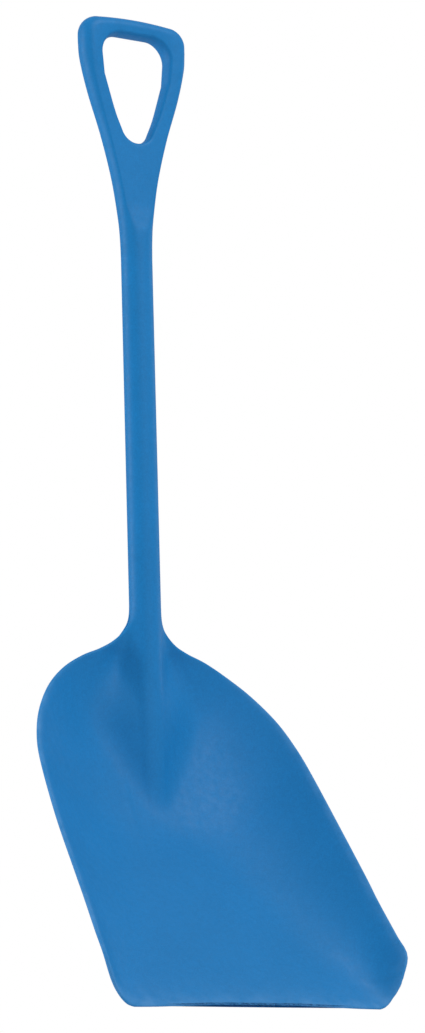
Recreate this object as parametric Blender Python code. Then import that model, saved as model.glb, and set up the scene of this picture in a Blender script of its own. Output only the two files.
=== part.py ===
"""Grain scoop shovel: deep square-lipped bowl, hollow oval shaft and a D-shaped hand grip.

Metres, +Z up along the shaft, open side of the bowl towards -Y, X across the blade.
The origin is the middle of the cutting edge.
"""
import bpy
import numpy as np
from math import pi, radians, sin, cos, tan

# ---- overall -------------------------------------------------------------------------------
OVERALL = 1.065          # middle of the cutting edge to top of grip, see LIP_HOLLOW
AXIS_Y = 0.1965          # shaft axis stands this far behind the cutting edge
GAP = 0.0003             # clearance left between two pieces at a joint
WALL = 0.0040            # bowl wall thickness
LIP_WALL = 0.0030        # wall thickness at the cutting edge

# ---- bowl ----------------------------------------------------------------------------------
LIFT = radians(41.5)     # angle between the shaft axis and the bowl floor
RIM = [                  # rim stations from the corner to the neck: half width, behind lip, up
    (0.1745, 0.0118, 0.0690),
    (0.1714, 0.0408, 0.1100),
    (0.1702, 0.0580, 0.1350),
    (0.1663, 0.0985, 0.1925),
    (0.1597, 0.1375, 0.2515),
    (0.1530, 0.1552, 0.2808),
    (0.1408, 0.1705, 0.3085),
    (0.1205, 0.1860, 0.3357),
    (0.0965, 0.1960, 0.3563),
    (0.0735, 0.1985, 0.3696),
    (0.0505, 0.1990, 0.3787),
    (0.0338, 0.1987, 0.3884),
    (0.0240, 0.1977, 0.4040),
    (0.0190, 0.1968, 0.4180),
    (0.0176, 0.1965, 0.4300),
]
LIP_CORNER = [           # outline of the lip's corner: half width, up
    (0.1440, 0.0000), (0.1500, 0.0022), (0.1560, 0.0078), (0.1644, 0.0200),
    (0.1704, 0.0350), (0.1747, 0.0485), (0.1757, 0.0580),
]
CORNER_X = LIP_CORNER[0][0]   # half length of the straight cutting edge
WALL_SPAN_LIP = 1.05     # side wall run over its height, at the cutting edge
WALL_SPAN = 2.15         # the same, in the body of the bowl
WALL_SPAN_NECK = 0.95    # the same, by the neck
LIP_HOLLOW = 0.0030      # the cutting edge is this much hollow between its ends
LIP_FLAT = 0.030         # half length of the straight middle of the cutting edge
HEEL_Y = 0.1815          # the floor turns up into a steep heel this far behind the lip
HEEL_Z = 0.215           # at this height
HEEL_SLOPE = 0.25        # and the heel leans back by this much of its height
HEEL_DEEP = 0.2085       # until it stands this far behind the lip
HEEL_BLEND = 0.014       # how widely the floor bends into the heel
RIDGE_BLEND = 0.008      # how widely the shaft's root melts into the bowl
WEB_Y = 0.1822           # front of the web that carries the shaft down into the bowl
WEB_HALF = 0.010         # half width of its flat front
WEB_ROUND = 0.005        # rounding between that front and the flanks
WEB_SLOPE = 0.45         # fall of the flanks
WEB_BLEND = 0.006        # how widely the shaft's half round melts into the web
WEB_LOW = 0.300          # the web starts to sink back at this height
WEB_HIGH = 0.394         # and has sunk in full by this one
WEB_SINK = 0.010         # by this much
POCKET_X = 0.033         # the pockets beside the shaft's root are this far off its axis
POCKET_WIDE = 0.014      # reach this far to each side
POCKET_Z = 0.372         # are deepest at this height
POCKET_FALL = 0.034      # reach this far down
POCKET_RISE = 0.010      # this far up
POCKET_DEEP = 0.0045     # and are this deep in the web
BACK_BLEND = 0.007       # how widely the ridge behind the bowl melts into it
BACK_RIDGE_TOP = 0.375   # behind the bowl the shaft starts to sink in at this height
BACK_RIDGE_END = 0.270   # and is gone by this one
RIM_RUN_ON = 0.140       # the rim is carried this far past the lip corners, to shape them
RIM_FALL = 0.13          # loss of height along that extension
RIM_LEAST = 0.018        # least height of that extension above the floor
NECK_START = 0.385       # from here up the section turns into the shaft's oval
RIDGE_BAND = 0.034       # half width of the band with closely spaced section points
SEAM = 0.14              # front and back sheets meet this angle short of the shaft's side

# ---- shaft ---------------------------------------------------------------------------------
SHAFT_A = 0.0174         # half width
SHAFT_B = 0.0147         # half depth
NECK_Z = 0.430           # bowl-to-shaft joint
THROAT_Z = 0.800         # shaft-to-grip joint
SPIGOT_A = 0.0130        # half width of the spigots inside the shaft
SPIGOT_B = 0.0103        # half depth
SPIGOT_LEN = 0.045

# ---- D-grip --------------------------------------------------------------------------------
GRIP_SIDE = [            # outer edge: height, half width
    (0.800, 0.0174), (0.822, 0.0180), (0.845, 0.0200), (0.888, 0.0270),
    (0.934, 0.0391), (0.979, 0.0540), (1.014, 0.0628), (1.034, 0.0646),
]
GRIP_CORNER = 0.021      # outer corner radius
GRIP_CROWN = 0.0022      # rise of the cross bar towards its middle
HOLE_BOTTOM = 0.9272
HOLE_TOP = 1.0442
HOLE_SIDE = [(0.0262, 0.9600), (0.0382, 0.9985)]
LEG_B = 0.0133           # half depth of legs and cross bar
EDGE_FLAT = 0.0040       # half width of the flat land round the edges
HOLE_ROUND = {1: 0.0058, -1: 0.0150}   # rounding of the hand hole, front and back
PANEL_BLEND = 0.0014     # the fold between the rounded side and the flat panel
HOLE_BLEND = 0.0040      # the fold between the panel and the hand hole's rounding
HOLE_R_LOW = 0.0188      # radius of the hand hole's bottom end
HOLE_R_HIGH = 0.0215     # radius of its upper corners
HOLE_HALF = 0.0404       # half width of the hand hole under the cross bar
PANEL = [                # half depth of the flat panel down the throat and legs
    (0.800, 0.0160), (0.826, 0.0152), (0.838, 0.0125), (0.856, 0.0100),
    (0.890, 0.0094), (0.926, 0.0094), (0.953, 0.0099), (0.981, 0.0111),
    (1.005, 0.0120), (1.030, 0.0145), (1.100, 0.0145),
]

# middle of the cutting edge's narrow face, which becomes the origin
LIP_CENTRE = (0.0, LIP_HOLLOW * tan(LIFT) + LIP_WALL * cos(LIFT) / 2,
              LIP_HOLLOW - LIP_WALL * sin(LIFT) / 2)


def smoothstep(t):
    t = np.clip(t, 0.0, 1.0)
    return t * t * (3.0 - 2.0 * t)


def soft_min(a, b, k):
    """The lesser of two values, rounded over where they come within k of each other."""
    m = np.maximum(k - np.abs(a - b), 0.0) / k
    return np.minimum(a, b) - m * m * k * 0.25


def catmull(points, steps):
    """Smooth curve through the control points."""
    p = np.array(points, float)
    p = np.vstack([2 * p[0] - p[1], p, 2 * p[-1] - p[-2]])
    out = []
    for i in range(1, len(p) - 2):
        for t in np.linspace(0, 1, steps, endpoint=False):
            a = 2 * p[i]
            b = p[i + 1] - p[i - 1]
            c = 2 * p[i - 1] - 5 * p[i] + 4 * p[i + 1] - p[i + 2]
            d = 3 * p[i] - p[i - 1] - 3 * p[i + 1] + p[i + 2]
            out.append(0.5 * (a + b * t + c * t * t + d * t ** 3))
    out.append(p[-2])
    return np.array(out)


def resample(poly, n, weight=None):
    """n points along a polyline, evenly spaced unless a density weight is given."""
    seg = np.linalg.norm(np.diff(poly, axis=0), axis=1)
    if weight is not None:
        seg = seg * weight
    s = np.concatenate([[0.0], np.cumsum(seg)])
    t = np.linspace(0, s[-1], n)
    return np.stack([np.interp(t, s, poly[:, k]) for k in range(poly.shape[1])], axis=1)


def to_plane(y, z):
    """(behind lip, up) to (along the floor, above the floor)."""
    return y * sin(LIFT) + z * cos(LIFT), -y * cos(LIFT) + z * sin(LIFT)


RIM_CURVE = catmull(RIM, 16)
RIM_U, RIM_H = to_plane(RIM_CURVE[:, 1], RIM_CURVE[:, 2])


def wall_rim():
    """The rim with its side walls run straight on past the lip corners."""
    near = 5
    du = RIM_U[near] - RIM_U[0]
    dx = (RIM_CURVE[near, 0] - RIM_CURVE[0, 0]) / du
    u = np.linspace(RIM_U[0] - RIM_RUN_ON, RIM_U[0], 30, endpoint=False)
    x = RIM_CURVE[0, 0] + dx * (u - RIM_U[0]) * 0.4
    h = np.maximum(RIM_H[0] + RIM_FALL * (u - RIM_U[0]), RIM_LEAST)
    return (np.concatenate([x, RIM_CURVE[:, 0]]), np.concatenate([u, RIM_U]),
            np.concatenate([h, RIM_H]))


WX, WU, WH = wall_rim()


def dish(x, u):
    """Height of the bowl's inner face above the floor plane.

    Every stretch of the rim throws a wall that falls off with the distance from it, and the
    highest of them counts. Outside the rim the nearest one is carried on.
    """
    px, pu = x.ravel()[:, None], u.ravel()[:, None]
    ax, au = WX[None, :-1], WU[None, :-1]
    bx, bu = WX[None, 1:] - ax, WU[None, 1:] - au
    t = np.clip(((px - ax) * bx + (pu - au) * bu) / (bx * bx + bu * bu), 0, 1)
    along = au + t * bu
    d = np.hypot(px - ax - t * bx, pu - along)
    high = WH[None, :-1] + t * np.diff(WH)[None]
    span = WALL_SPAN_LIP + (WALL_SPAN - WALL_SPAN_LIP) * smoothstep((along - 0.01) / 0.11)
    span = span + (WALL_SPAN_NECK - WALL_SPAN) * smoothstep((along - 0.37) / 0.07)
    reach = high * span
    wall = (high * np.clip(1 - d / reach, 0, 1) ** 2).max(1)
    j = d.argmin(1)
    r = np.arange(len(j))
    turn = bx[0, j] * (pu[:, 0] - au[0, j]) - bu[0, j] * (px[:, 0] - ax[0, j])
    beyond = high[r, j] * np.minimum(1 + d[r, j] / reach[r, j], 1.6) ** 2
    return np.where(turn < 0, beyond, wall).reshape(x.shape)


def pocket(x, z):
    """Extra depth of the two pockets beside the shaft's root, deepest just under the rim."""
    side = np.exp(-((np.abs(x) - POCKET_X) / POCKET_WIDE) ** 2)
    below = np.exp(-((z - POCKET_Z) / np.where(z < POCKET_Z, POCKET_FALL, POCKET_RISE)) ** 2)
    return POCKET_DEEP * side * below


def dish_y(x, z):
    """Distance behind the lip of the bowl's inner face."""
    u = z / cos(LIFT)
    e = 1e-5
    for _ in range(12):
        h = dish(x, u)
        slope = (dish(x, u + e) - h) / e
        step = cos(LIFT) + np.clip(slope, -0.2, 2) * sin(LIFT)
        u = u - np.clip((u * cos(LIFT) + h * sin(LIFT) - z) / step, -0.02, 0.02)
    y = u * sin(LIFT) - dish(x, u) * cos(LIFT)
    y = np.where(z > NECK_START, np.clip(y, AXIS_Y - 0.002, AXIS_Y + 0.012), y)
    heel = soft_min(HEEL_Y + HEEL_SLOPE * (z - HEEL_Z), HEEL_DEEP, HEEL_BLEND)
    return soft_min(y, heel, HEEL_BLEND) + 0.5 * pocket(x, z)


def half_round(x):
    """Bulge of the shaft from its own mid plane, with straight flanks run on outside it."""
    q = np.minimum(np.abs(x) / SHAFT_A, 0.8)
    return SHAFT_B * np.sqrt(1 - q * q) - (SHAFT_B / SHAFT_A) * 1.3333 * (np.abs(x) - q * SHAFT_A)


def ridge_y(x, z):
    """Front of the shaft's root: the half-round shaft on a broad, gently sloping web."""
    out = np.abs(x) - WEB_HALF
    flank = WEB_SLOPE * (out + np.sqrt(out * out + WEB_ROUND ** 2)) / 2
    web = WEB_Y + flank + WEB_SINK * smoothstep((z - WEB_LOW) / (WEB_HIGH - WEB_LOW))
    web = web + pocket(x, z)
    return soft_min(AXIS_Y - half_round(x), web, WEB_BLEND)


def rim_outline(rows):
    """Rim stations the bowl is lofted through: lip corner, side, shoulder and neck."""
    corner = catmull(LIP_CORNER + [(RIM[0][0], RIM[0][2])], 12)
    line = np.vstack([corner[:-1], RIM_CURVE[:, [0, 2]]])
    up = (line[:-1, 1] + line[1:, 1]) / 2
    dens = 1.0 + 1.2 * (up < 0.03) + 0.9 * smoothstep((up - 0.19) / 0.11)
    return resample(line, rows, dens)


def section_columns(half, cols, low, high):
    """Half-width positions of a section's points, closer together over the ridge."""
    v = np.arange(cols + 1) / cols
    close = half * np.sin(v * (pi / 2 - SEAM)) / cos(SEAM)
    inner = int(cols * 0.42) / cols
    band = min(RIDGE_BAND, 0.68 * half)
    wide = band + (half - band) * (v - inner) / (1 - inner)
    spread = np.where(v <= inner, band * v / inner, wide)
    on_shell = smoothstep((half - low) / (high - low))
    return spread * on_shell + close * (1 - on_shell)


def section_grid(rim, cols):
    """Half-width and height of every section point of the bowl."""
    grid_x, grid_z = [], []
    for half, top in rim:
        x = section_columns(half, cols, SHAFT_A, SHAFT_A + 0.040)
        level = smoothstep((top - 0.20) / 0.22)
        sag = 0.62 + 0.18 * smoothstep((top - 0.05) / 0.04)
        middle = top * (sag + (1 - sag) * level)
        grid_x.append(x)
        grid_z.append(middle + (top - middle) * (x / half) ** 1.5)
    lip_x = grid_x[0]
    grid_z[0] = LIP_HOLLOW * (1 - smoothstep((lip_x - LIP_FLAT) / (CORNER_X - LIP_FLAT)))
    return np.array(grid_x), np.array(grid_z)


def bowl_sheets(x, z):
    """Front and back faces of the bowl, with the shaft's ridge run into both."""
    e = 1e-4
    y = dish_y(x, z)
    slope_x = (dish_y(x + e, z) - dish_y(np.abs(x - e), z)) / (2 * e)
    slope_z = (dish_y(x, z + e) - dish_y(x, z - e)) / (2 * e)
    slope_x[:, 0] = 0
    normal = np.stack([-slope_x, np.ones_like(y), -slope_z], axis=2)
    normal /= np.linalg.norm(normal, axis=2, keepdims=True)
    thick = LIP_WALL + (WALL - LIP_WALL) * smoothstep(z / 0.03)
    front = np.stack([x, soft_min(y, ridge_y(x, z), RIDGE_BLEND), z], axis=2)
    back = np.stack([x, y, z], axis=2) + normal * thick[:, :, None]
    t = np.maximum(BACK_RIDGE_TOP - z, 0) / (BACK_RIDGE_TOP - BACK_RIDGE_END)
    sink = 0.010 * t + 0.30 * t ** 4
    spine = AXIS_Y + half_round(back[:, :, 0]) - sink
    back[:, :, 1] = -soft_min(-back[:, :, 1], -spine, BACK_BLEND)
    back[:, 0, 0] = 0
    back[0, :, 1] = front[0, :, 1] + LIP_WALL * cos(LIFT)
    back[0, :, 2] = front[0, :, 2] - LIP_WALL * sin(LIFT)
    return front, back


def shaft_point(angle, z):
    """Point of the shaft's outline, the angle counted from the middle of its front."""
    return np.array([SHAFT_A * sin(angle), AXIS_Y - SHAFT_B * cos(angle), z])


def outward(span, tangent):
    """Unit direction that points out of the rim, square to its thickness and its run."""
    across = np.cross(span, tangent)
    across /= np.linalg.norm(across)
    return across if across[0] > 0 else -across


def bowl_loops(rows, cols):
    """Closed sections of the bowl from the cutting edge up to the neck joint."""
    rim = rim_outline(rows)
    front, back = bowl_sheets(*section_grid(rim, cols))
    angles = (pi / 2 - SEAM) * np.arange(cols + 1) / cols
    loops = []
    for i, (_, top) in enumerate(rim):
        neck = float(smoothstep((top - NECK_START) / (NECK_Z - NECK_START)))
        near = np.array([shaft_point(a, top) for a in angles])
        far = np.array([shaft_point(pi - a, top) for a in angles])
        f = front[i] * (1 - neck) + near * neck
        b = back[i] * (1 - neck) + far * neck
        span = b[-1] - f[-1]
        if i in (0, rows - 1):
            out = np.array([1.0, 0.0, 0.0])
        else:
            out = outward(span, front[i + 1, -1] - front[i - 1, -1])
        edge = f[-1] + span / 2 + out * np.linalg.norm(span) / 2
        edge = edge * (1 - neck) + shaft_point(pi / 2, top) * neck
        right = np.vstack([f, edge, b[::-1]])
        left = right[::-1][1:-1] * [-1, 1, 1]
        loops.append(np.vstack([right, left]))
    return loops


def loft(loops, cap_start=True, cap_end=True):
    """Quads between closed sections of equal length, with flat or fanned ends."""
    n = len(loops[0])
    verts = [tuple(p) for loop in loops for p in loop]
    faces = []
    for i in range(len(loops) - 1):
        for j in range(n):
            k = (j + 1) % n
            faces.append((i * n + j, i * n + k, (i + 1) * n + k, (i + 1) * n + j))
    if cap_start:
        faces.append(tuple(range(n))[::-1])
    if cap_end:
        faces.append(tuple((len(loops) - 1) * n + j for j in range(n)))
    return verts, faces


def make(name, verts, faces, material, sharp=38):
    """Mesh object with its origin at the middle of the cutting edge."""
    mesh = bpy.data.meshes.new(name)
    mesh.from_pydata([tuple(np.subtract(v, LIP_CENTRE)) for v in verts], [], faces)
    mesh.validate()
    mesh.materials.append(material)
    obj = bpy.data.objects.new(name, mesh)
    bpy.context.scene.collection.objects.link(obj)
    mesh.shade_smooth()
    mesh.set_sharp_from_angle(angle=radians(sharp))
    return obj


def plastic(name, colour, rough):
    m = bpy.data.materials.new(name)
    m.use_nodes = True
    bsdf = m.node_tree.nodes["Principled BSDF"]
    bsdf.inputs["Base Color"].default_value = colour + (1.0,)
    bsdf.inputs["Roughness"].default_value = rough
    bsdf.inputs["Metallic"].default_value = 0.0
    return m


def lip_cap(cols, n):
    """Faces across the cutting edge: quads front to back, and a triangle at each end."""
    last = 2 * cols + 2
    faces = []
    for a in range(cols):
        b = a + 1
        faces.append((b, a, last - a, last - b))
        faces.append((-a % n, -b % n, n - last + b, n - last + a))
    faces.append((cols + 1, cols, cols + 2))
    faces.append((n - cols - 1, n - cols - 2, n - cols))
    return faces


def bowl(material):
    rows, cols = 56, 15
    loops = bowl_loops(rows, cols)
    top = loops[-1]
    for z in (NECK_Z, NECK_Z + SPIGOT_LEN):
        ring = top.copy()
        ring[:, 0] = top[:, 0] * SPIGOT_A / SHAFT_A
        ring[:, 1] = AXIS_Y + (top[:, 1] - AXIS_Y) * SPIGOT_B / SHAFT_B
        ring[:, 2] = z
        loops.append(ring)
    verts, faces = loft(loops, cap_start=False)
    faces += lip_cap(cols, len(top))
    return make("bowl", verts, faces, material)


def oval(a, b, z, n):
    t = np.linspace(0, 2 * pi, n, endpoint=False)
    return np.stack([a * np.sin(t), AXIS_Y - b * np.cos(t), np.full(n, z)], axis=1)


def shaft(material):
    """Oval tube: outer wall, then back down its bore, then the end ring that joins them."""
    n = 40
    z0, z1 = NECK_Z + GAP, THROAT_Z - GAP
    ia, ib = SPIGOT_A + GAP, SPIGOT_B + GAP
    loops = [oval(SHAFT_A, SHAFT_B, z, n) for z in (z0, z1)]
    loops += [oval(ia, ib, z, n) for z in (z1, z0)]
    verts, faces = loft(loops, False, False)
    for j in range(n):
        k = (j + 1) % n
        faces.append((3 * n + j, 3 * n + k, k, j))
    return make("shaft", verts, faces, material)


def grip_outer():
    """Right half of the grip's outer edge, from the throat joint to the middle of the bar."""
    side = catmull([(w, z) for z, w in GRIP_SIDE], 8)
    top = OVERALL - GRIP_CROWN
    cx, cz = side[-1, 0] - GRIP_CORNER, top - GRIP_CORNER
    a = np.linspace(0, pi / 2, 12)[1:]
    corner = np.stack([cx + GRIP_CORNER * np.cos(a), cz + GRIP_CORNER * np.sin(a)], axis=1)
    side = side[side[:, 1] < cz - 0.001]
    bx = np.linspace(cx, 0, 10)[1:]
    bar = np.stack([bx, top + GRIP_CROWN * (1 - (bx / cx) ** 2)], axis=1)
    return np.vstack([side, corner, bar])


def grip_hole():
    """Right half of the hand hole, from its bottom to the middle of its top."""
    a = np.linspace(-pi / 2, -0.42, 9)
    low = np.stack([HOLE_R_LOW * np.cos(a), HOLE_BOTTOM + HOLE_R_LOW * (1 + np.sin(a))], axis=1)
    side = catmull([tuple(low[-1])] + HOLE_SIDE, 5)[1:]
    cx, cz = HOLE_HALF - HOLE_R_HIGH, HOLE_TOP - HOLE_R_HIGH
    b = np.linspace(-0.12, pi / 2, 14)
    corner = np.stack([cx + HOLE_R_HIGH * np.cos(b), cz + HOLE_R_HIGH * np.sin(b)], axis=1)
    flat = np.stack([np.linspace(cx, 0, 4)[1:], np.full(3, HOLE_TOP)], axis=1)
    return np.vstack([low, side, corner, flat])


def edge_distance(p, line):
    """Distance from each point to a line of points."""
    a, b = line[:-1][None], np.diff(line, axis=0)[None]
    q = p[:, None]
    t = np.clip(((q - a) * b).sum(2) / (b * b).sum(2), 0, 1)
    return np.sqrt((((a + t[..., None] * b) - q) ** 2).sum(2)).min(1)


def grip_depth(p, outer, hole, face):
    """Half depth of the grip at points of its front (1) or back (-1) face."""
    z = p[:, 1]
    run = np.interp(z, [THROAT_Z, 0.90, 1.00], [SHAFT_A, 0.0125, 0.0115])
    deep = np.interp(z, [THROAT_Z, 0.92, 0.98], [SHAFT_B, 0.0136, LEG_B])
    q = 1 - np.minimum(edge_distance(p, outer) / run, 1)
    body = deep * np.sqrt(1 - q * q)
    inside = edge_distance(p, hole)
    q = 1 - np.minimum(inside / HOLE_ROUND[face], 1)
    ring = LEG_B * np.sqrt(1 - q * q) + 0.3 * np.maximum(inside - HOLE_ROUND[face], 0)
    panel = np.interp(z, [a for a, _ in PANEL], [b for _, b in PANEL])
    depth = soft_min(soft_min(body, panel, PANEL_BLEND), ring, HOLE_BLEND)
    return np.maximum(depth, EDGE_FLAT)


def grip_grid(stations, cols, foot):
    """Face of the right half: lines from the hole's edge out to the outer edge.

    The first few lines, counted by foot, run out along the throat joint instead.
    """
    outer, hole = grip_outer(), grip_hole()
    base = np.stack([np.linspace(0, SHAFT_A, foot + 1)[:-1], np.full(foot, THROAT_Z)], axis=1)
    ends = np.vstack([base, resample(outer, stations - foot + 1)])
    run = np.concatenate([[0], np.cumsum(np.linalg.norm(np.diff(ends, axis=0), axis=1))])
    # the starts stay bunched at the hole's bottom while the outer edge climbs the throat
    climb = np.interp(run / run[-1], [0, 0.09, 0.42, 0.60, 1.0], [0, 0.02, 0.16, 0.42, 1.0])
    fine = resample(hole, 400)
    starts = np.stack([np.interp(climb * 399, np.arange(400), fine[:, k]) for k in (0, 1)], axis=1)
    starts[0, 0] = 0
    starts[-1, 0] = 0
    v = 0.5 - 0.5 * np.cos(pi * np.linspace(0, 1, cols + 1))
    grid = starts[:, None] + (ends - starts)[:, None] * v[None, :, None]
    return grid, outer, hole


def grip(material):
    """Front and back faces, the lands round their edges, and the spigot below the throat."""
    stations, cols, foot = 42, 9, 5
    grid, outer, hole = grip_grid(stations, cols, foot)
    flat = grid.reshape(-1, 2)
    depth = {}
    for face in (1, -1):
        depth[face] = grip_depth(flat, outer, hole, face).reshape(grid.shape[:2])
        across = np.clip(grid[:foot + 1, -1, 0] / SHAFT_A, 0, 1)
        depth[face][:foot + 1, -1] = np.maximum(SHAFT_B * np.sqrt(1 - across ** 2), EDGE_FLAT)
    verts, faces, index = [], [], {}

    def vid(side, face, i, j):
        if i in (0, stations):
            side = 1
        key = (side, face, i, j)
        if key not in index:
            x, z = grid[i, j]
            index[key] = len(verts)
            verts.append((side * x, AXIS_Y - face * depth[face][i, j], z))
        return index[key]

    for side in (1, -1):
        for face in (1, -1):
            for i in range(stations):
                for j in range(cols):
                    q = [vid(side, face, i, j), vid(side, face, i, j + 1),
                         vid(side, face, i + 1, j + 1), vid(side, face, i + 1, j)]
                    faces.append(tuple(q if side * face > 0 else q[::-1]))
        for i in range(stations):
            for j, turn in ((0, -1), (cols, 1)):
                if j == cols and i < foot:
                    continue
                q = [vid(side, 1, i, j), vid(side, -1, i, j),
                     vid(side, -1, i + 1, j), vid(side, 1, i + 1, j)]
                faces.append(tuple(q if side * turn > 0 else q[::-1]))
    joint = [vid(1, 1, i, cols) for i in range(foot + 1)]
    joint += [vid(1, -1, i, cols) for i in range(foot, -1, -1)]
    joint += [vid(-1, -1, i, cols) for i in range(1, foot + 1)]
    joint += [vid(-1, 1, i, cols) for i in range(foot, 0, -1)]
    n = len(joint)
    last = joint
    for z in (THROAT_Z, THROAT_Z - SPIGOT_LEN):
        ring = []
        for k in joint:
            x, y, _ = verts[k]
            t = np.arctan2(x / SHAFT_A, (AXIS_Y - y) / SHAFT_B)
            ring.append(len(verts))
            verts.append((SPIGOT_A * sin(t), AXIS_Y - SPIGOT_B * cos(t), z))
        for j in range(n):
            k = (j + 1) % n
            faces.append((last[k], last[j], ring[j], ring[k]))
        last = ring
    faces.append(tuple(last[::-1]))
    return make("grip", verts, faces, material)


def main():
    for o in list(bpy.data.objects):
        bpy.data.objects.remove(o, do_unlink=True)
    blue = (0.036, 0.195, 0.520)
    bowl(plastic("bowl_polypropylene", blue, 0.52))
    shaft(plastic("shaft_polypropylene", blue, 0.50))
    grip(plastic("grip_polypropylene", blue, 0.55))


main()
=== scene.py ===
"""Looks of the grain scoop shovel: one blue polypropylene moulding in a plain white studio.

The bowl, the shaft and the grip are each drawn here as a fine closed surface that stands
for the CAD node of the same name. All lengths are in metres, in the frame of the CAD part:
+Z runs up the shaft and -Y points out of the open side of the bowl.
"""
from math import cos, pi, radians, sin, tan

import bpy
import numpy as np
from mathutils import Matrix, Vector


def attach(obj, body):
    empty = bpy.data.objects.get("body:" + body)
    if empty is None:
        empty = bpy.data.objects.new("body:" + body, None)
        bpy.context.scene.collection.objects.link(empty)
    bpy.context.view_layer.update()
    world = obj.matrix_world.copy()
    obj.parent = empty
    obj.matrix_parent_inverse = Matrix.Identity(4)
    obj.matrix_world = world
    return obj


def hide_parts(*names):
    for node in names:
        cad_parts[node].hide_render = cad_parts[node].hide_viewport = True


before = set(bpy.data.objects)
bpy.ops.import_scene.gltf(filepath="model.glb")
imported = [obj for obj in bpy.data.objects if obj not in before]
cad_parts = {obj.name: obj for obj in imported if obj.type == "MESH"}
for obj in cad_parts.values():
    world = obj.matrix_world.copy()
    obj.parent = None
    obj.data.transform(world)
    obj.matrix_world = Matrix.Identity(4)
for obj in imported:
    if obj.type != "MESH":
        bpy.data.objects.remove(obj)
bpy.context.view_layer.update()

# ---- driving sizes, the same as the CAD part's ---------------------------------------------
# A pair that names a stretch is (where it starts, how long it is), for ramp().
OVERALL = 1.065
AXIS_Y = 0.1965
WALL = 0.0040
LIP_WALL = 0.0030
LIFT = radians(41.5)
RIM = [
    (0.1745, 0.0118, 0.0690),
    (0.1714, 0.0408, 0.1100),
    (0.1702, 0.0580, 0.1350),
    (0.1663, 0.0985, 0.1925),
    (0.1597, 0.1375, 0.2515),
    (0.1530, 0.1552, 0.2808),
    (0.1408, 0.1705, 0.3085),
    (0.1205, 0.1860, 0.3357),
    (0.0965, 0.1960, 0.3563),
    (0.0735, 0.1985, 0.3696),
    (0.0505, 0.1990, 0.3787),
    (0.0338, 0.1987, 0.3884),
    (0.0240, 0.1977, 0.4040),
    (0.0190, 0.1968, 0.4180),
    (0.0176, 0.1965, 0.4300),
]
LIP_CORNER = [(0.1440, 0.0000), (0.1500, 0.0022), (0.1560, 0.0078), (0.1644, 0.0200),
              (0.1704, 0.0350), (0.1747, 0.0485), (0.1757, 0.0580)]
CORNER_X = LIP_CORNER[0][0]
WALL_SPAN_LIP = 1.05         # reach of a side wall into the bowl, as a share of its height
WALL_SPAN = 2.15
WALL_SPAN_NECK = 0.95
WALL_OPENS = (0.01, 0.11)    # stretch along the floor where the reach grows from the lip's
WALL_CLOSES = (0.37, 0.07)   # stretch where it shrinks to the neck's
WALL_BEYOND = 1.6            # most that a wall grows where it is carried on past the rim
LIP_HOLLOW = 0.0030          # the cutting edge is this much hollow between its ends
LIP_FLAT = 0.030
LIP_THICKENS = (0.0, 0.03)   # stretch of height where the wall grows from LIP_WALL to WALL
SECTION_SAG = 0.62           # height of a section's middle as a share of its rim, at the lip
SECTION_SAG_MORE = 0.18      # what is added to that share further up
SECTION_SAG_RISE = (0.05, 0.04)
SECTION_LEVELS = (0.20, 0.22)    # stretch of height where the sections turn level
SECTION_BOW = 1.5
HEEL_Y = 0.1815              # the heel is the steep back of the bowl
HEEL_Z = 0.215
HEEL_SLOPE = 0.25
HEEL_DEEP = 0.2085
HEEL_BLEND = 0.014
RIDGE_BLEND = 0.008
WEB_Y = 0.1822               # the web is the flat-fronted foot of the shaft in the bowl
WEB_HALF = 0.010
WEB_ROUND = 0.005
WEB_SLOPE = 0.45
WEB_BLEND = 0.006
WEB_LOW = 0.300
WEB_HIGH = 0.394
WEB_SINK = 0.010
POCKET_X = 0.033
POCKET_WIDE = 0.014
POCKET_Z = 0.372
POCKET_FALL = 0.034
POCKET_RISE = 0.010
POCKET_DEEP = 0.0045
POCKET_SHELL = 0.5           # share of the pocket's depth that the bowl's own wall takes
BACK_BLEND = 0.007
BACK_RIDGE_TOP = 0.375
BACK_RIDGE_END = 0.270
BACK_SINK = 0.010            # depth the shaft's back sinks by, evenly
BACK_SINK_STEEP = 0.30       # and by the fourth power of the way down
RIM_RUN_ON = 0.140           # the side walls are run on this far past the lip corners
RIM_BASE = 5                 # points of the rim's start that give the run its direction
RIM_TAPER = 0.4              # share of the side walls' taper that it keeps
RIM_FALL = 0.13
RIM_LEAST = 0.018
RIM_MIDDLE_Z = 0.22          # height of the bowl's middle, which the rim's edge faces away from
NECK_START = 0.385
NECK_BEFORE = 0.002          # how far the neck's wall may come before the shaft's axis
NECK_BEHIND = 0.012          # and go behind it
FLANK_SHARE = 0.8            # share of the shaft's half width where its flanks turn straight
FLANK_SLOPE = 1.3333         # slope of a unit circle there
RIDGE_BAND = 0.034
RIDGE_BAND_MOST = 0.68       # the band takes up no more of a narrow section than this
SEAM = 0.14                  # half angle of the shaft's outline that the rim's edge runs into
SHELL_FULL = 0.040           # a section this much wider than the shaft is all shell
SHAFT_A = 0.0174
SHAFT_B = 0.0147
NECK_Z = 0.430
THROAT_Z = 0.800
GRIP_SIDE = [
    (0.800, 0.0174), (0.822, 0.0180), (0.845, 0.0200), (0.888, 0.0270),
    (0.934, 0.0391), (0.979, 0.0540), (1.014, 0.0628), (1.034, 0.0646),
]
GRIP_CORNER = 0.021
GRIP_CORNER_GAP = 0.001      # the side's last point stops this much short of the corner
GRIP_CROWN = 0.0022
HOLE_BOTTOM = 0.9272
HOLE_TOP = 1.0442
HOLE_SIDE = [(0.0262, 0.9600), (0.0382, 0.9985)]
LEG_B = 0.0133
HOLE_ROUND = {1: 0.0058, -1: 0.0150}
PANEL_BLEND = 0.0014
HOLE_BLEND = 0.0040
HOLE_R_LOW = 0.0188
HOLE_R_HIGH = 0.0215
HOLE_HALF = 0.0404
HOLE_LOW_END = -0.42         # angle where the hole's round bottom runs into its side
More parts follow.
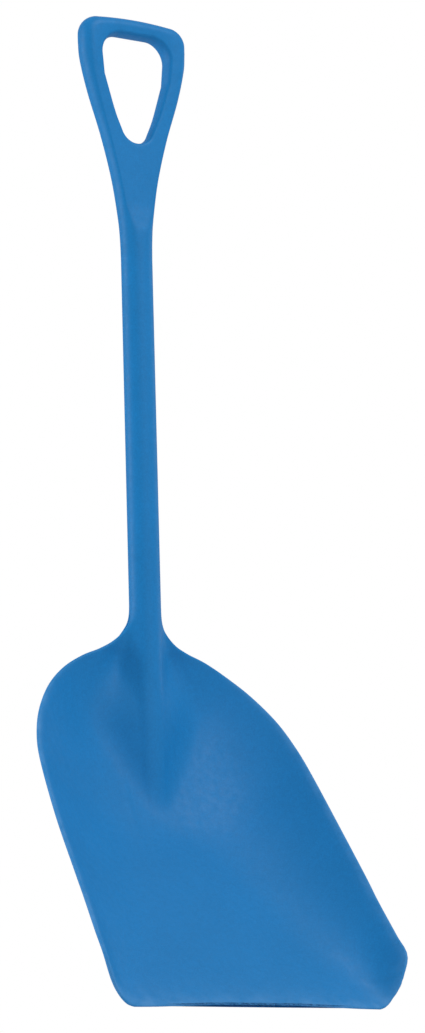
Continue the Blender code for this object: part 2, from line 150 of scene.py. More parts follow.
HOLE_HIGH_START = -0.12      # angle where its side runs into the upper corner
HOLE_OPENS = 0.3             # slope of the face past the hole's rounded edge
GRIP_ROUND = [(THROAT_Z, SHAFT_A), (0.90, 0.0125), (1.00, 0.0115)]
GRIP_DEEP = [(THROAT_Z, SHAFT_B), (0.92, 0.0136), (0.98, LEG_B)]
PANEL = [
    (0.800, 0.0160), (0.826, 0.0152), (0.838, 0.0125), (0.856, 0.0100),
    (0.890, 0.0094), (0.926, 0.0094), (0.953, 0.0099), (0.981, 0.0111),
    (1.005, 0.0120), (1.030, 0.0145), (1.100, 0.0145),
]
LIP_CENTRE = (0.0, LIP_HOLLOW * tan(LIFT) + LIP_WALL * cos(LIFT) / 2,
              LIP_HOLLOW - LIP_WALL * sin(LIFT) / 2)

# ---- fineness of the drawn surfaces --------------------------------------------------------
BOWL_ROWS = 150
BOWL_COLS = 46
EDGE_STEPS = 5
GRIP_STATIONS = 150
GRIP_COLS = 36
GRIP_FOOT = 16
SHAFT_SIDES = 96
SHAFT_RINGS = 40
CURVE_STEPS = 16             # points from one control point of the rim to the next
LIP_CORNER_STEPS = 12
GRIP_SIDE_STEPS = 24
GRIP_CORNER_POINTS = 40
GRIP_BAR_POINTS = 30
HOLE_LOW_POINTS = 30
HOLE_SIDE_STEPS = 20
HOLE_CORNER_POINTS = 44
HOLE_TOP_POINTS = 10
RUN_ON_POINTS = 30
RIDGE_SHARE = 0.42           # share of a section's columns that lie over the shaft's ridge
FINER_LOW = 1.2              # how much closer the rows are at the lip
FINER_LOW_END = 0.03
FINER_HIGH = 0.9             # and at the shoulders
FINER_HIGH_RISE = (0.19, 0.11)
DISH_PASSES = 12
DISH_SLOPES = (-0.2, 2)      # slopes of the dish that a pass reckons with
DISH_STRIDE = 0.02           # most that a pass moves along the floor
RELAX_PASSES = 4
RELAX_WIDE = (0.05, 0.05)    # half widths over which the evening-out sets in
HOLE_POINTS = 1600
CLIMB = [(0, 0), (0.09, 0.02), (0.42, 0.16), (0.60, 0.42), (1.0, 1.0)]    # outer edge to hole

# ---- wear ----------------------------------------------------------------------------------
WEAR_EDGE = 0.006            # how far the wear reaches in from the rim
WEAR_FADE = (0.30, 0.09)     # stretch of height where it dies out towards the neck
WEAR_LIP = 0.003             # how far in from the cutting edge it is whole
WEAR_LIP_FALL = 0.012        # and how far it takes to die out there

# ---- colour --------------------------------------------------------------------------------
BLUE = (0.003, 0.166, 0.438)
CHALK = (0.16, 0.36, 0.66, 1.0)
CHALK_SHARE = 0.32
CHALK_ROUGH = 0.10
IOR = 1.49
SPECULAR = 0.22
NOISE_ROUGHNESS = 0.55
# Noise layers: cycles a metre, detail, shift, the noise's low and high, what they become.
CLOUD = (14.0, 3.0, 0.0, 0.30, 0.70, 0.97, 1.03)
MOTTLE = (190.0, 4.0, 3.0, 0.25, 0.75, 0.955, 1.045)
SPECK = (620.0, 2.0, 5.0, 0.28, 0.72, 0.93, 1.07)
PATCH = (60.0, 4.0, 7.0, 0.35, 0.70, 0.25, 1.0)
ROUGH = (120.0, 3.0, 11.0, 0.30, 0.70, 0.46, 0.58)
GRAIN = (900.0, 2.0, 17.0)
FLOW = (30.0, 1.0, 23.0)
GRAIN_SHARE = 0.25
BUMP = {"Strength": 0.30, "Distance": 0.0004}
SHARP_ANGLE = radians(50)

# ---- studio --------------------------------------------------------------------------------
WHITE = (1.0, 1.0, 1.0, 1.0)
ROOM_LIGHT = 0.52
# Name, place, the point it is aimed at, width and height, watts.
LIGHTS = [
    ("key_left", (-3.0, 1.3, 1.1), (0, 0.15, 0.5), (1.2, 2.4), 60.0),
    ("fill_top", (1.6, -4.5, 5.3), (0, 0.15, 0.45), (4.0, 4.0), 288.0),
    ("edge_right", (3.2, 0.2, 1.0), (0, 0.15, 0.5), (1.0, 2.2), 6.0),
]
FLOOR_HALF = 6.0
FLOOR_Z = -0.48
FLOOR_GREY = (0.80, 0.80, 0.80, 1.0)
FLOOR_ROUGH = 0.9
CAMERA_PLACE = Vector((-2.0365, -3.0925, -0.2230))
CAMERA_FORWARD = Vector((0.53311, 0.82481, 0.18836))
CAMERA_RIGHT = Vector((0.84236, -0.53821, -0.02732))
CAMERA_LENS = 130.87
SENSOR_HEIGHT = 36.0


# ============================================================================================
# Curves
# ============================================================================================
def smoothstep(t):
    t = np.clip(t, 0.0, 1.0)
    return t * t * (3.0 - 2.0 * t)


def ramp(value, start, length):
    """Smooth rise from 0 to 1 as a value passes through a stretch."""
    return smoothstep((value - start) / length)


def lookup(value, pairs):
    """Value read off a short table of pairs, straight between them."""
    return np.interp(value, [a for a, _ in pairs], [b for _, b in pairs])


def soft_min(a, b, k):
    """The lesser of two values, rounded over where they come within k of each other."""
    m = np.maximum(k - np.abs(a - b), 0.0) / k
    return np.minimum(a, b) - m * m * k * 0.25


def catmull(points, steps):
    """Smooth curve through the control points."""
    p = np.array(points, float)
    p = np.vstack([2 * p[0] - p[1], p, 2 * p[-1] - p[-2]])
    out = []
    for i in range(1, len(p) - 2):
        for t in np.linspace(0, 1, steps, endpoint=False):
            a = 2 * p[i]
            b = p[i + 1] - p[i - 1]
            c = 2 * p[i - 1] - 5 * p[i] + 4 * p[i + 1] - p[i + 2]
            d = 3 * p[i] - p[i - 1] - 3 * p[i + 1] + p[i + 2]
            out.append(0.5 * (a + b * t + c * t * t + d * t ** 3))
    out.append(p[-2])
    return np.array(out)


def resample(poly, n, weight=None):
    """n points along a polyline, evenly spaced unless a density weight is given."""
    seg = np.linalg.norm(np.diff(poly, axis=0), axis=1)
    if weight is not None:
        seg = seg * weight
    s = np.concatenate([[0.0], np.cumsum(seg)])
    t = np.linspace(0, s[-1], n)
    return np.stack([np.interp(t, s, poly[:, k]) for k in range(poly.shape[1])], axis=1)


def to_plane(y, z):
    """(behind lip, up) to (along the floor, above the floor)."""
    return y * sin(LIFT) + z * cos(LIFT), -y * cos(LIFT) + z * sin(LIFT)


# ============================================================================================
# Bowl
# ============================================================================================
RIM_CURVE = catmull(RIM, CURVE_STEPS)
RIM_U, RIM_H = to_plane(RIM_CURVE[:, 1], RIM_CURVE[:, 2])


def wall_rim():
    """The rim with its side walls run straight on past the lip corners."""
    du = RIM_U[RIM_BASE] - RIM_U[0]
    dx = (RIM_CURVE[RIM_BASE, 0] - RIM_CURVE[0, 0]) / du
    u = np.linspace(RIM_U[0] - RIM_RUN_ON, RIM_U[0], RUN_ON_POINTS, endpoint=False)
    x = RIM_CURVE[0, 0] + dx * (u - RIM_U[0]) * RIM_TAPER
    h = np.maximum(RIM_H[0] + RIM_FALL * (u - RIM_U[0]), RIM_LEAST)
    return (np.concatenate([x, RIM_CURVE[:, 0]]), np.concatenate([u, RIM_U]),
            np.concatenate([h, RIM_H]))


WX, WU, WH = wall_rim()


def dish(x, u):
    """Height of the bowl's inner face above the floor plane.

    Every stretch of the rim throws a wall that falls off with the distance from it, and the
    highest of them counts. Outside the rim the nearest one is carried on.
    """
    px, pu = x.ravel()[:, None], u.ravel()[:, None]
    ax, au = WX[None, :-1], WU[None, :-1]
    bx, bu = WX[None, 1:] - ax, WU[None, 1:] - au
    t = np.clip(((px - ax) * bx + (pu - au) * bu) / (bx * bx + bu * bu), 0, 1)
    along = au + t * bu
    d = np.hypot(px - ax - t * bx, pu - along)
    high = WH[None, :-1] + t * np.diff(WH)[None]
    span = WALL_SPAN_LIP + (WALL_SPAN - WALL_SPAN_LIP) * ramp(along, *WALL_OPENS)
    span = span + (WALL_SPAN_NECK - WALL_SPAN) * ramp(along, *WALL_CLOSES)
    reach = high * span
    wall = (high * np.clip(1 - d / reach, 0, 1) ** 2).max(1)
    j = d.argmin(1)
    r = np.arange(len(j))
    turn = bx[0, j] * (pu[:, 0] - au[0, j]) - bu[0, j] * (px[:, 0] - ax[0, j])
    beyond = high[r, j] * np.minimum(1 + d[r, j] / reach[r, j], WALL_BEYOND) ** 2
    return np.where(turn < 0, beyond, wall).reshape(x.shape)


def pocket(x, z):
    """Extra depth of the two pockets beside the shaft's root, deepest just under the rim."""
    side = np.exp(-((np.abs(x) - POCKET_X) / POCKET_WIDE) ** 2)
    below = np.exp(-((z - POCKET_Z) / np.where(z < POCKET_Z, POCKET_FALL, POCKET_RISE)) ** 2)
    return POCKET_DEEP * side * below


def dish_y(x, z):
    """Distance behind the lip of the bowl's inner face."""
    u = z / cos(LIFT)
    e = 1e-5
    for _ in range(DISH_PASSES):
        h = dish(x, u)
        slope = (dish(x, u + e) - h) / e
        step = cos(LIFT) + np.clip(slope, *DISH_SLOPES) * sin(LIFT)
        off = (u * cos(LIFT) + h * sin(LIFT) - z) / step
        u = u - np.clip(off, -DISH_STRIDE, DISH_STRIDE)
    y = u * sin(LIFT) - dish(x, u) * cos(LIFT)
    y = np.where(z > NECK_START, np.clip(y, AXIS_Y - NECK_BEFORE, AXIS_Y + NECK_BEHIND), y)
    heel = soft_min(HEEL_Y + HEEL_SLOPE * (z - HEEL_Z), HEEL_DEEP, HEEL_BLEND)
    return soft_min(y, heel, HEEL_BLEND) + POCKET_SHELL * pocket(x, z)


def half_round(x):
    """Bulge of the shaft from its own mid plane, with straight flanks run on outside it."""
    q = np.minimum(np.abs(x) / SHAFT_A, FLANK_SHARE)
    straight = (SHAFT_B / SHAFT_A) * FLANK_SLOPE * (np.abs(x) - q * SHAFT_A)
    return SHAFT_B * np.sqrt(1 - q * q) - straight


def ridge_y(x, z):
    """Front of the shaft's root: the half-round shaft on a broad, gently sloping web."""
    out = np.abs(x) - WEB_HALF
    flank = WEB_SLOPE * (out + np.sqrt(out * out + WEB_ROUND ** 2)) / 2
    web = WEB_Y + flank + WEB_SINK * ramp(z, WEB_LOW, WEB_HIGH - WEB_LOW)
    web = web + pocket(x, z)
    return soft_min(AXIS_Y - half_round(x), web, WEB_BLEND)


def rim_outline(rows):
    """Rim stations the bowl is lofted through: lip corner, side, shoulder and neck."""
    corner = catmull(LIP_CORNER + [(RIM[0][0], RIM[0][2])], LIP_CORNER_STEPS)
    line = np.vstack([corner[:-1], RIM_CURVE[:, [0, 2]]])
    up = (line[:-1, 1] + line[1:, 1]) / 2
    dense = 1.0 + FINER_LOW * (up < FINER_LOW_END) + FINER_HIGH * ramp(up, *FINER_HIGH_RISE)
    return resample(line, rows, dense)


def section_columns(half, cols, low, high):
    """Half-width positions of a section's points, closer together over the ridge."""
    v = np.arange(cols + 1) / cols
    close = half * np.sin(v * (pi / 2 - SEAM)) / cos(SEAM)
    inner = int(cols * RIDGE_SHARE) / cols
    band = min(RIDGE_BAND, RIDGE_BAND_MOST * half)
    wide = band + (half - band) * (v - inner) / (1 - inner)
    spread = np.where(v <= inner, band * v / inner, wide)
    on_shell = ramp(half, low, high - low)
    return spread * on_shell + close * (1 - on_shell)


def section_grid(rim, cols):
    """Half-width and height of every section point of the bowl."""
    grid_x, grid_z = [], []
    for half, top in rim:
        x = section_columns(half, cols, SHAFT_A, SHAFT_A + SHELL_FULL)
        level = ramp(top, *SECTION_LEVELS)
        sag = SECTION_SAG + SECTION_SAG_MORE * ramp(top, *SECTION_SAG_RISE)
        middle = top * (sag + (1 - sag) * level)
        grid_x.append(x)
        grid_z.append(middle + (top - middle) * (x / half) ** SECTION_BOW)
    grid_z[0] = LIP_HOLLOW * (1 - ramp(grid_x[0], LIP_FLAT, CORNER_X - LIP_FLAT))
    return np.array(grid_x), np.array(grid_z)


def relax(grid, passes):
    """Evens out a height grid inside its border, with the mirror line at its first column."""
    out = grid.copy()
    for _ in range(passes):
        wide = np.hstack([out[:, 1:2], out])
        side = 0.25 * wide[:, :-2] + 0.5 * wide[:, 1:-1] + 0.25 * wide[:, 2:]
        out[1:-1, :-1] = side[1:-1]
        up = 0.25 * out[:-2] + 0.5 * out[1:-1] + 0.25 * out[2:]
        out[1:-1, :-1] = up[:, :-1]
    return out


def bowl_sheets(x, z):
    """Front and back faces of the bowl, with the shaft's ridge run into both."""
    e = 1e-4
    y = dish_y(x, z)
    above = y - z * tan(LIFT)
    even = relax(above, RELAX_PASSES)
    open_part = ramp(x[:, -1:], *RELAX_WIDE)
    y = y + (even - above) * open_part
    slope_x = (dish_y(x + e, z) - dish_y(np.abs(x - e), z)) / (2 * e)
    slope_z = (dish_y(x, z + e) - dish_y(x, z - e)) / (2 * e)
    slope_x[:, 0] = 0
    normal = np.stack([-slope_x, np.ones_like(y), -slope_z], axis=2)
    normal /= np.linalg.norm(normal, axis=2, keepdims=True)
    thick = LIP_WALL + (WALL - LIP_WALL) * ramp(z, *LIP_THICKENS)
    front = np.stack([x, soft_min(y, ridge_y(x, z), RIDGE_BLEND), z], axis=2)
    back = np.stack([x, y, z], axis=2) + normal * thick[:, :, None]
    t = np.maximum(BACK_RIDGE_TOP - z, 0) / (BACK_RIDGE_TOP - BACK_RIDGE_END)
    sink = BACK_SINK * t + BACK_SINK_STEEP * t ** 4
    spine = AXIS_Y + half_round(back[:, :, 0]) - sink
    back[:, :, 1] = -soft_min(-back[:, :, 1], -spine, BACK_BLEND)
    back[:, 0, 0] = 0
    back[0, :, 1] = front[0, :, 1] + LIP_WALL * cos(LIFT)
    back[0, :, 2] = front[0, :, 2] - LIP_WALL * sin(LIFT)
    return front, back


def shaft_point(angle, z):
    """Point of the shaft's outline, the angle counted from the middle of its front."""
    return np.array([SHAFT_A * sin(angle), AXIS_Y - SHAFT_B * cos(angle), z])


def edge_arc(near, far, out, steps):
    """Half-round edge from the front sheet to the back one, bulging along out."""
    span = far - near
    a = pi * np.arange(1, steps + 1)[:, None] / (steps + 1)
    return near + span * (0.5 - 0.5 * np.cos(a)) + out * (np.linalg.norm(span) / 2) * np.sin(a)


def outward(span, tangent, position):
    """Unit direction that points out of the rim, square to its thickness and its run."""
    across = np.cross(span, tangent)
    across /= np.linalg.norm(across)
    away = position - np.array([0.0, position[1], RIM_MIDDLE_Z])
    return across if across @ away > 0 else -across


def bowl_loops(rows, cols):
    """Closed sections of the bowl from the cutting edge up to the neck joint."""
    rim = rim_outline(rows)
    front, back = bowl_sheets(*section_grid(rim, cols))
    angles = (pi / 2 - SEAM) * np.arange(cols + 1) / cols
    turn = pi * np.arange(1, EDGE_STEPS + 1) / (EDGE_STEPS + 1)
    loops = []
    for i, (_, top) in enumerate(rim):
        neck = float(ramp(top, NECK_START, NECK_Z - NECK_START))
        near = np.array([shaft_point(a, top) for a in angles])
        far = np.array([shaft_point(pi - a, top) for a in angles])
        f = front[i] * (1 - neck) + near * neck
        b = back[i] * (1 - neck) + far * neck
        if i == 0:
            out = np.array([0.0, -sin(LIFT), -cos(LIFT)])
        elif i == rows - 1:
            out = np.array([1.0, 0.0, 0.0])
        else:
            out = outward(b[-1] - f[-1], front[i + 1, -1] - front[i - 1, -1], f[-1])
        arc = edge_arc(f[-1], b[-1], out, EDGE_STEPS)
        oval_side = np.array([shaft_point(pi / 2 - SEAM * cos(a), top) for a in turn])
        arc = arc * (1 - neck) + oval_side * neck
        right = np.vstack([f, arc, b[::-1]])
        left = right[::-1][1:-1] * [-1, 1, 1]
        loops.append(np.vstack([right, left]))
    return loops


def lip_strip(verts, loop, cols):
    """Rounded cutting edge between the front and back sheets of the first section."""
    n = len(loop)
    last = 2 * cols + EDGE_STEPS + 1
    down = np.array([0.0, -sin(LIFT), -cos(LIFT)])
    ladder = []
    for k in range(-cols, cols + 1):
        near, far = k % n, (last - abs(k)) * (1 if k >= 0 else -1) % n
        if abs(k) == cols:
            side = 1 if k > 0 else -1
            middle = [side * (cols + 1 + m) % n for m in range(EDGE_STEPS)]
        else:
            arc = edge_arc(loop[near], loop[far], down, EDGE_STEPS)
            middle = list(range(len(verts), len(verts) + EDGE_STEPS))
            verts += [tuple(p) for p in arc]
        ladder.append([near] + middle + [far])
    return [(a[j + 1], a[j], b[j], b[j + 1])
            for a, b in zip(ladder[:-1], ladder[1:]) for j in range(EDGE_STEPS + 1)]


def loft(loops, cap_start=True, cap_end=True):
    """Quads between closed sections of equal length, with flat ends."""
    n = len(loops[0])
    verts = [tuple(p) for loop in loops for p in loop]
    faces = []
    for i in range(len(loops) - 1):
        for j in range(n):
            k = (j + 1) % n
            faces.append((i * n + j, i * n + k, (i + 1) * n + k, (i + 1) * n + j))
    if cap_start:
        faces.append(tuple(range(n))[::-1])
    if cap_end:
        faces.append(tuple((len(loops) - 1) * n + j for j in range(n)))
    return verts, faces


def bowl_wear(points, rim):
    """How worn each point is: most along the rim and the cutting edge."""
    aside = np.abs(np.abs(points[:, None, 0]) - rim[None, :, 0])
    d = (np.abs(points[:, None, 2] - rim[None, :, 2]) + aside).min(1)
    rim_wear = np.exp(-(d / WEAR_EDGE) ** 2) * (1 - ramp(points[:, 2], *WEAR_FADE))
    lip_u, _ = to_plane(points[:, 1], points[:, 2])
    lip_wear = np.exp(-(np.maximum(lip_u - WEAR_LIP, 0) / WEAR_LIP_FALL))
    return np.maximum(rim_wear, lip_wear)


def bowl_skin():
    """Closed surface of the bowl, from the rounded cutting edge to the neck joint."""
    loops = bowl_loops(BOWL_ROWS, BOWL_COLS)
    verts, faces = loft(loops, cap_start=False)
    faces += lip_strip(verts, loops[0], BOWL_COLS)
    rim = np.array([loop[BOWL_COLS + 1 + EDGE_STEPS // 2] for loop in loops])
    return make("bowl_skin", verts, faces, bowl_wear(np.array(verts), rim))


# ============================================================================================
# Shaft and grip
# ============================================================================================
def shaft_skin():
    """Solid oval bar between the neck and the throat."""
    t = np.linspace(0, 2 * pi, SHAFT_SIDES, endpoint=False)
    loops = [np.array([shaft_point(a, z) for a in t])
             for z in np.linspace(NECK_Z, THROAT_Z, SHAFT_RINGS)]
    verts, faces = loft(loops)
    return make("shaft_skin", verts, faces, np.zeros(len(verts)))


def grip_outer():
    """Right half of the grip's outer edge, from the throat joint to the middle of the bar."""
    side = catmull([(w, z) for z, w in GRIP_SIDE], GRIP_SIDE_STEPS)
    top = OVERALL - GRIP_CROWN
    cx, cz = side[-1, 0] - GRIP_CORNER, top - GRIP_CORNER
    a = np.linspace(0, pi / 2, GRIP_CORNER_POINTS)[1:]
    corner = np.stack([cx + GRIP_CORNER * np.cos(a), cz + GRIP_CORNER * np.sin(a)], axis=1)
    side = side[side[:, 1] < cz - GRIP_CORNER_GAP]
    bx = np.linspace(cx, 0, GRIP_BAR_POINTS)[1:]
    bar = np.stack([bx, top + GRIP_CROWN * (1 - (bx / cx) ** 2)], axis=1)
    return np.vstack([side, corner, bar])


def grip_hole():
    """Right half of the hand hole, from its bottom to the middle of its top."""
    a = np.linspace(-pi / 2, HOLE_LOW_END, HOLE_LOW_POINTS)
    low = np.stack([HOLE_R_LOW * np.cos(a), HOLE_BOTTOM + HOLE_R_LOW * (1 + np.sin(a))], axis=1)
    side = catmull([tuple(low[-1])] + HOLE_SIDE, HOLE_SIDE_STEPS)[1:]
    cx, cz = HOLE_HALF - HOLE_R_HIGH, HOLE_TOP - HOLE_R_HIGH
    b = np.linspace(HOLE_HIGH_START, pi / 2, HOLE_CORNER_POINTS)
    corner = np.stack([cx + HOLE_R_HIGH * np.cos(b), cz + HOLE_R_HIGH * np.sin(b)], axis=1)
    across = np.linspace(cx, 0, HOLE_TOP_POINTS)[1:]
    flat = np.stack([across, np.full(len(across), HOLE_TOP)], axis=1)
    return np.vstack([low, side, corner, flat])


def edge_distance(p, line):
    """Distance from each point to a line of points."""
    a, b = line[:-1][None], np.diff(line, axis=0)[None]
    q = p[:, None]
    t = np.clip(((q - a) * b).sum(2) / (b * b).sum(2), 0, 1)
    return np.sqrt((((a + t[..., None] * b) - q) ** 2).sum(2)).min(1)


def grip_depth(p, outer, hole, face):
    """Half depth of the grip at points of its front (1) or back (-1) face."""
    z = p[:, 1]
    q = 1 - np.minimum(edge_distance(p, outer) / lookup(z, GRIP_ROUND), 1)
    body = lookup(z, GRIP_DEEP) * np.sqrt(1 - q * q)
    inside = edge_distance(p, hole)
    q = 1 - np.minimum(inside / HOLE_ROUND[face], 1)
    ring = LEG_B * np.sqrt(1 - q * q) + HOLE_OPENS * np.maximum(inside - HOLE_ROUND[face], 0)
    panel = lookup(z, PANEL)
    depth = soft_min(soft_min(body, panel, PANEL_BLEND), ring, HOLE_BLEND)
    return np.maximum(depth, 0.0)


def grip_grid(stations, cols, foot):
    """Face of the right half: lines from the hole's edge out to the outer edge.

    The first few lines, counted by foot, run out along the throat joint instead.
    """
    outer, hole = grip_outer(), grip_hole()
    across = SHAFT_A * np.sin(np.linspace(0, pi / 2, foot + 1))[:-1]
    base = np.stack([across, np.full(foot, THROAT_Z)], axis=1)
    ends = np.vstack([base, resample(outer, stations - foot + 1)])
    run = np.concatenate([[0], np.cumsum(np.linalg.norm(np.diff(ends, axis=0), axis=1))])
    fine = resample(hole, HOLE_POINTS)
    at = lookup(run / run[-1], CLIMB) * (HOLE_POINTS - 1)
    starts = np.stack([np.interp(at, np.arange(HOLE_POINTS), fine[:, k]) for k in (0, 1)], axis=1)
    starts[0, 0] = 0
    starts[-1, 0] = 0
    v = 0.5 - 0.5 * np.cos(pi * np.linspace(0, 1, cols + 1))
    grid = starts[:, None] + (ends - starts)[:, None] * v[None, :, None]
    return grid, outer, hole


def grip_skin():
    """Front and back faces of the grip, joined round both edges and closed at the throat."""
    stations, cols, foot = GRIP_STATIONS, GRIP_COLS, GRIP_FOOT
    grid, outer, hole = grip_grid(stations, cols, foot)
    flat = grid.reshape(-1, 2)
    depth = {}
    for face in (1, -1):
        depth[face] = grip_depth(flat, outer, hole, face).reshape(grid.shape[:2])
        across = np.clip(grid[:foot + 1, -1, 0] / SHAFT_A, 0, 1)
        depth[face][:foot + 1, -1] = SHAFT_B * np.sqrt(1 - across ** 2)
        depth[face][:, 0] = 0
        depth[face][foot:, -1] = 0
    verts, faces, index = [], [], {}

    def vid(side, face, i, j):
        if i in (0, stations):
            side = 1
        if depth[face][i, j] == 0:
            face = 1
        key = (side, face, i, j)
        if key not in index:
            x, z = grid[i, j]
            index[key] = len(verts)
            verts.append((side * x, AXIS_Y - face * depth[face][i, j], z))
        return index[key]

    for side in (1, -1):
        for face in (1, -1):
            for i in range(stations):
                for j in range(cols):
                    q = [vid(side, face, i, j), vid(side, face, i, j + 1),
                         vid(side, face, i + 1, j + 1), vid(side, face, i + 1, j)]
                    faces.append(tuple(q if side * face > 0 else q[::-1]))
    ring = [vid(1, 1, i, cols) for i in range(foot + 1)]
    ring += [vid(1, -1, i, cols) for i in range(foot - 1, -1, -1)]
    ring += [vid(-1, -1, i, cols) for i in range(1, foot + 1)]
    ring += [vid(-1, 1, i, cols) for i in range(foot - 1, 0, -1)]
    faces.append(tuple(ring[::-1]))
    return make("grip_skin", verts, faces, np.zeros(len(verts)))


# ============================================================================================
# Mesh objects
# ============================================================================================
def make(name, verts, faces, wear):
    """Mesh object in the CAD part's frame, carrying how worn each of its points is."""
    mesh = bpy.data.meshes.new(name)
    mesh.from_pydata([tuple(np.subtract(v, LIP_CENTRE)) for v in verts], [], faces)
    mesh.validate()
    attribute = mesh.attributes.new("wear", "FLOAT", "POINT")
    attribute.data.foreach_set("value", np.asarray(wear, np.float32))
    obj = bpy.data.objects.new(name, mesh)
    bpy.context.scene.collection.objects.link(obj)
    mesh.shade_smooth()
    mesh.set_sharp_from_angle(angle=SHARP_ANGLE)
    return obj


# ============================================================================================
# Material
# ============================================================================================
def node(tree, kind, inputs=None, **props):
    """New node with the values of some inputs and some properties set."""
    n = tree.nodes.new(kind)
    for key, value in props.items():
        setattr(n, key, value)
    for key, value in (inputs or {}).items():
        n.inputs[key].default_value = value
    return n


def noise(tree, where, scale, detail, offset):
    """Noise at so many cycles a metre, from 0 to 1."""
    place = (offset, offset * 0.7, offset * 1.3)
    shift = node(tree, "ShaderNodeVectorMath", {1: place}, operation="ADD")
    tree.links.new(where.outputs["Object"], shift.inputs[0])
    n = node(tree, "ShaderNodeTexNoise", {"Scale": scale, "Detail": detail,
                                          "Roughness": NOISE_ROUGHNESS})
    tree.links.new(shift.outputs[0], n.inputs["Vector"])
    return n.outputs["Fac"]


def layer(tree, where, offset, values):
    """One of the noise layers, with its low and high carried to the values it stands for."""
    scale, detail, shift, low, high, to_low, to_high = values
    n = node(tree, "ShaderNodeMapRange", {"From Min": low, "From Max": high,
                                          "To Min": to_low, "To Max": to_high})
    tree.links.new(noise(tree, where, scale, detail, offset + shift), n.inputs["Value"])
    return n.outputs["Result"]


def combine(tree, operation, a, b):
    """Sum or product of two values, each a number or another node's output."""
    n = node(tree, "ShaderNodeMath", operation=operation)
    for socket, value in zip(n.inputs, (a, b)):
        if isinstance(value, (int, float)):
            socket.default_value = value
        else:
            tree.links.new(value, socket)
    return n.outputs["Value"]


def base_colour(tree, where, offset, amount):
    """Mottled blue, turning chalky where it is worn."""
    tone = combine(tree, "MULTIPLY", layer(tree, where, offset, CLOUD),
                   layer(tree, where, offset, MOTTLE))
    tone = combine(tree, "MULTIPLY", tone, layer(tree, where, offset, SPECK))
    blue = node(tree, "ShaderNodeVectorMath", {0: BLUE}, operation="SCALE")
    tree.links.new(tone, blue.inputs["Scale"])
    mix = node(tree, "ShaderNodeMix", data_type="RGBA")
    mix.inputs["B"].default_value = CHALK
    tree.links.new(combine(tree, "MULTIPLY", amount, CHALK_SHARE), mix.inputs["Factor"])
    tree.links.new(blue.outputs["Vector"], mix.inputs["A"])
    return mix.outputs["Result"]


def surface_bump(tree, where, offset):
    """Fine moulded grain over faint flow marks."""
    grain = noise(tree, where, GRAIN[0], GRAIN[1], offset + GRAIN[2])
    flow = noise(tree, where, FLOW[0], FLOW[1], offset + FLOW[2])
    height = combine(tree, "ADD", combine(tree, "MULTIPLY", grain, GRAIN_SHARE), flow)
    bump = node(tree, "ShaderNodeBump", BUMP)
    tree.links.new(height, bump.inputs["Height"])
    return bump.outputs["Normal"]


def polypropylene(name, offset):
    """Satin moulded plastic: mottled blue, faint flow marks, fine grain, chalky worn edges."""
    paint = bpy.data.materials.new(name)
    paint.use_nodes = True
    tree = paint.node_tree
    bsdf = tree.nodes["Principled BSDF"]
    bsdf.inputs["IOR"].default_value = IOR
    bsdf.inputs["Specular IOR Level"].default_value = SPECULAR
    where = node(tree, "ShaderNodeTexCoord")
    worn = node(tree, "ShaderNodeAttribute", attribute_name="wear")
    amount = combine(tree, "MULTIPLY", worn.outputs["Fac"], layer(tree, where, offset, PATCH))
    rough = combine(tree, "ADD", layer(tree, where, offset, ROUGH),
                    combine(tree, "MULTIPLY", amount, CHALK_ROUGH))
    tree.links.new(base_colour(tree, where, offset, amount), bsdf.inputs["Base Color"])
    tree.links.new(rough, bsdf.inputs["Roughness"])
    tree.links.new(surface_bump(tree, where, offset), bsdf.inputs["Normal"])
    return paint


# ============================================================================================
# Studio
# ============================================================================================
def area_light(name, place, target, size, power):
    """Rectangular light aimed at a point of the shovel."""
    data = bpy.data.lights.new(name, "AREA")
    data.shape = "RECTANGLE"
    data.size, data.size_y = size
    data.energy = power
    obj = bpy.data.objects.new(name, data)
    bpy.context.scene.collection.objects.link(obj)
    obj.location = place
    obj.rotation_euler = (Vector(target) - Vector(place)).to_track_quat("-Z", "Y").to_euler()


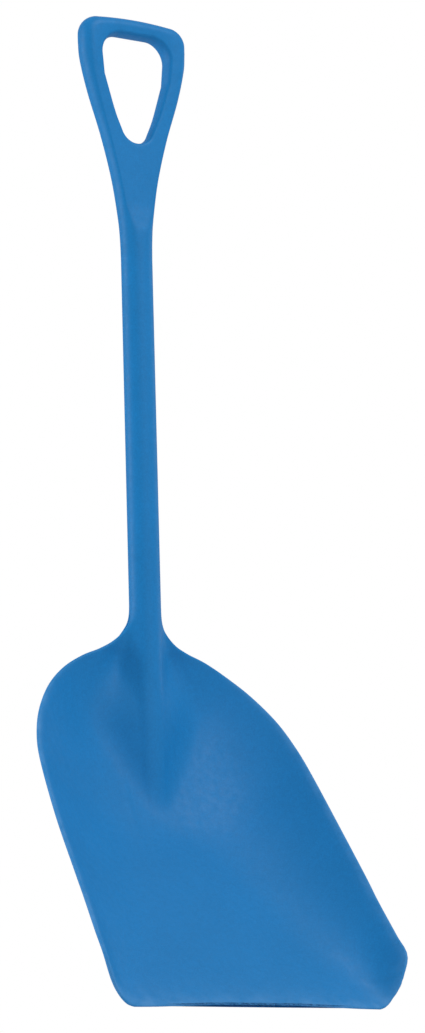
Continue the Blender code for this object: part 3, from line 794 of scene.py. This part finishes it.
def studio():
    """White paper behind, dimmer white room light, and the three lamps."""
    world = bpy.data.worlds.new("studio")
    bpy.context.scene.world = world
    world.use_nodes = True
    tree = world.node_tree
    room = tree.nodes["Background"]
    room.inputs["Color"].default_value = WHITE
    room.inputs["Strength"].default_value = ROOM_LIGHT
    paper = node(tree, "ShaderNodeBackground", {"Color": WHITE, "Strength": 1.0})
    seen = node(tree, "ShaderNodeLightPath")
    mix = node(tree, "ShaderNodeMixShader")
    tree.links.new(seen.outputs["Is Camera Ray"], mix.inputs[0])
    tree.links.new(room.outputs[0], mix.inputs[1])
    tree.links.new(paper.outputs[0], mix.inputs[2])
    tree.links.new(mix.outputs[0], tree.nodes["World Output"].inputs["Surface"])
    for light in LIGHTS:
        area_light(*light)
    bpy.context.scene.view_settings.view_transform = "Standard"


def floor():
    """Pale floor well below the held-up shovel."""
    corners = [(-1, -1), (1, -1), (1, 1), (-1, 1)]
    mesh = bpy.data.meshes.new("studio_floor")
    mesh.from_pydata([(x * FLOOR_HALF, y * FLOOR_HALF, FLOOR_Z) for x, y in corners], [],
                     [(0, 1, 2, 3)])
    obj = bpy.data.objects.new("studio_floor", mesh)
    bpy.context.scene.collection.objects.link(obj)
    paint = bpy.data.materials.new("studio_floor")
    paint.use_nodes = True
    bsdf = paint.node_tree.nodes["Principled BSDF"]
    bsdf.inputs["Base Color"].default_value = FLOOR_GREY
    bsdf.inputs["Roughness"].default_value = FLOOR_ROUGH
    mesh.materials.append(paint)


def camera():
    """Low three-quarter view from the shovel's right-hand side, rolled a degree or two."""
    up = CAMERA_RIGHT.cross(CAMERA_FORWARD)
    data = bpy.data.cameras.new("camera")
    data.sensor_fit = "VERTICAL"
    data.sensor_height = SENSOR_HEIGHT
    data.lens = CAMERA_LENS
    obj = bpy.data.objects.new("camera", data)
    bpy.context.scene.collection.objects.link(obj)
    turn = Matrix((CAMERA_RIGHT, up, -CAMERA_FORWARD)).transposed().normalized()
    obj.matrix_world = Matrix.Translation(CAMERA_PLACE) @ turn.to_4x4()
    bpy.context.scene.camera = obj


def main():
    parts = (("bowl", bowl_skin, 0.0), ("shaft", shaft_skin, 1.7), ("grip", grip_skin, 4.1))
    for name, build, offset in parts:
        piece = build()
        piece.data.materials.append(polypropylene(name + "_blue", offset))
        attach(piece, "root")
        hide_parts(name)
    studio()
    floor()
    camera()


main()
